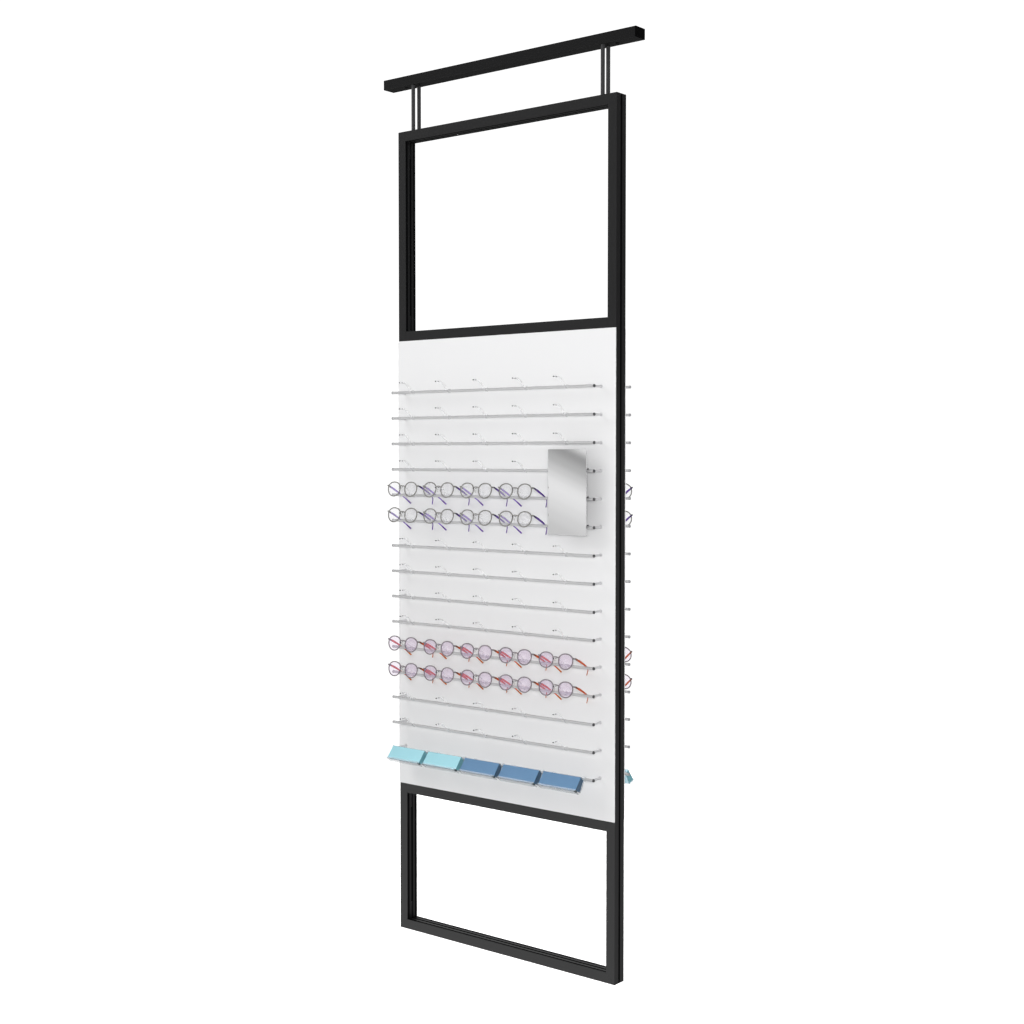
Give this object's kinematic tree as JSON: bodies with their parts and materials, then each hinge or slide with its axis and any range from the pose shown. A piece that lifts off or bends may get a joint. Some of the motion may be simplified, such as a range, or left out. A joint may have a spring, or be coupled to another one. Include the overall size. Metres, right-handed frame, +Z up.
{
  "type": "ceiling-hung eyewear display panel",
  "caption": "Two-sided glasses display hung from the ceiling: black profile frame, white panels, rows of bars with clear nose rests, hook-on mirror and tilting card blocks.",
  "frame": {"origin": "centre of the ceiling beam's top face, where it meets the ceiling", "axes": "+Z up, the ceiling face's normal; -Y out of the front panel; X along the bars"},
  "size_m": [0.955, 0.259, 2.67],
  "materials": {
    "black_profile": "extruded, satin black anodised",
    "black_plastic": "matte moulded",
    "rod_steel": "satin grey-black coat",
    "zinc_steel": "zinc plated",
    "white_panel": "matte white laminate",
    "grey_plastic": "matte moulded",
    "bar_steel": "fine drawn satin steel",
    "dark_rubber": "matte dark",
    "clear_acrylic": "clear polished acrylic",
    "mirror_glass": "polished mirror with a ground edge",
    "dark_metal": "satin dark grey coat",
    "pale_blue_block": "smooth, pale cyan blue, darker on its ends",
    "blue_block": "smooth, mid blue, darker on its ends",
    "grey_rim": "satin gunmetal",
    "grey_lens": "polished demo lens, faint grey",
    "pink_lens": "polished demo lens, faint lilac",
    "purple_temple": "glossy translucent purple acetate",
    "red_temple": "glossy red acetate with orange tips"
  },
  "bodies": {
    "hanging_frame": {"ceiling_beam": "black_profile", "beam_end_caps": "black_plastic", "hanger_rods": "rod_steel", "hanger_nuts": "zinc_steel", "left_stile": "black_profile", "right_stile": "black_profile", "top_rail": "black_profile", "upper_mid_rail": "black_profile", "lower_mid_rail": "black_profile", "bottom_rail": "black_profile", "corner_brackets": "zinc_steel", "bracket_screws": "zinc_steel", "front_panel": "white_panel", "back_panel": "white_panel", "panel_clips": "grey_plastic", "front_standoffs": "bar_steel", "back_standoffs": "bar_steel", "front_bars": "bar_steel", "back_bars": "bar_steel", "bar_end_plugs": "dark_rubber", "front_nose_rests": "clear_acrylic", "back_nose_rests": "clear_acrylic", "rest_tips": "clear_acrylic"},
    "front_mirror": {"front_mirror_glass": "mirror_glass", "front_mirror_backplate": "dark_metal"},
    "front_card_flap_1": {"front_card_holder_1": "clear_acrylic", "front_card_block_1": "pale_blue_block"},
    "front_card_flap_2": {"front_card_holder_2": "clear_acrylic", "front_card_block_2": "pale_blue_block"},
    "front_card_flap_3": {"front_card_holder_3": "clear_acrylic", "front_card_block_3": "blue_block"},
    "front_card_flap_4": {"front_card_holder_4": "clear_acrylic", "front_card_block_4": "blue_block"},
    "front_card_flap_5": {"front_card_holder_5": "clear_acrylic", "front_card_block_5": "blue_block"},
    "front_purple_glasses": {"front_purple_frames": "grey_rim", "front_purple_lenses": "grey_lens", "front_purple_temples": "purple_temple"},
    "front_red_glasses": {"front_red_frames": "grey_rim", "front_red_lenses": "pink_lens", "front_red_temples": "red_temple"},
    "back_mirror": {"back_mirror_glass": "mirror_glass", "back_mirror_backplate": "dark_metal"},
    "back_card_flap_1": {"back_card_holder_1": "clear_acrylic", "back_card_block_1": "pale_blue_block"},
    "back_card_flap_2": {"back_card_holder_2": "clear_acrylic", "back_card_block_2": "pale_blue_block"},
    "back_card_flap_3": {"back_card_holder_3": "clear_acrylic", "back_card_block_3": "blue_block"},
    "back_card_flap_4": {"back_card_holder_4": "clear_acrylic", "back_card_block_4": "blue_block"},
    "back_card_flap_5": {"back_card_holder_5": "clear_acrylic", "back_card_block_5": "blue_block"},
    "back_purple_glasses": {"back_purple_frames": "grey_rim", "back_purple_lenses": "grey_lens", "back_purple_temples": "purple_temple"},
    "back_red_glasses": {"back_red_frames": "grey_rim", "back_red_lenses": "pink_lens", "back_red_temples": "red_temple"}
  },
  "joints": [
    {"name": "front_mirror_lift", "type": "slide", "parent": "hanging_frame", "child": "front_mirror", "axis": [0, 0, 1], "range_m": [0, 0.01]},
    {"name": "front_card_tilt_1", "type": "hinge", "parent": "hanging_frame", "child": "front_card_flap_1", "pos_m": [0, -0.066, -2.086], "axis": [-1, 0, 0], "range_deg": [-30, 60]},
    {"name": "front_card_tilt_2", "type": "hinge", "parent": "hanging_frame", "child": "front_card_flap_2", "pos_m": [0, -0.066, -2.086], "axis": [-1, 0, 0], "range_deg": [-30, 60]},
    {"name": "front_card_tilt_3", "type": "hinge", "parent": "hanging_frame", "child": "front_card_flap_3", "pos_m": [0, -0.066, -2.086], "axis": [-1, 0, 0], "range_deg": [-30, 60]},
    {"name": "front_card_tilt_4", "type": "hinge", "parent": "hanging_frame", "child": "front_card_flap_4", "pos_m": [0, -0.066, -2.086], "axis": [-1, 0, 0], "range_deg": [-30, 60]},
    {"name": "front_card_tilt_5", "type": "hinge", "parent": "hanging_frame", "child": "front_card_flap_5", "pos_m": [0, -0.066, -2.086], "axis": [-1, 0, 0], "range_deg": [-30, 60]},
    {"name": "front_purple_glasses_lift", "type": "slide", "parent": "hanging_frame", "child": "front_purple_glasses", "axis": [0, -0.6428, 0.766], "range_m": [0, 0.11]},
    {"name": "front_red_glasses_lift", "type": "slide", "parent": "hanging_frame", "child": "front_red_glasses", "axis": [0, -0.6428, 0.766], "range_m": [0, 0.11]},
    {"name": "back_mirror_lift", "type": "slide", "parent": "hanging_frame", "child": "back_mirror", "axis": [0, 0, 1], "range_m": [0, 0.01]},
    {"name": "back_card_tilt_1", "type": "hinge", "parent": "hanging_frame", "child": "back_card_flap_1", "pos_m": [0, 0.066, -2.086], "axis": [1, 0, 0], "range_deg": [-30, 60]},
    {"name": "back_card_tilt_2", "type": "hinge", "parent": "hanging_frame", "child": "back_card_flap_2", "pos_m": [0, 0.066, -2.086], "axis": [1, 0, 0], "range_deg": [-30, 60]},
    {"name": "back_card_tilt_3", "type": "hinge", "parent": "hanging_frame", "child": "back_card_flap_3", "pos_m": [0, 0.066, -2.086], "axis": [1, 0, 0], "range_deg": [-30, 60]},
    {"name": "back_card_tilt_4", "type": "hinge", "parent": "hanging_frame", "child": "back_card_flap_4", "pos_m": [0, 0.066, -2.086], "axis": [1, 0, 0], "range_deg": [-30, 60]},
    {"name": "back_card_tilt_5", "type": "hinge", "parent": "hanging_frame", "child": "back_card_flap_5", "pos_m": [0, 0.066, -2.086], "axis": [1, 0, 0], "range_deg": [-30, 60]},
    {"name": "back_purple_glasses_lift", "type": "slide", "parent": "hanging_frame", "child": "back_purple_glasses", "axis": [0, 0.6428, 0.766], "range_m": [0, 0.11]},
    {"name": "back_red_glasses_lift", "type": "slide", "parent": "hanging_frame", "child": "back_red_glasses", "axis": [0, 0.6428, 0.766], "range_m": [0, 0.11]}
  ]
}
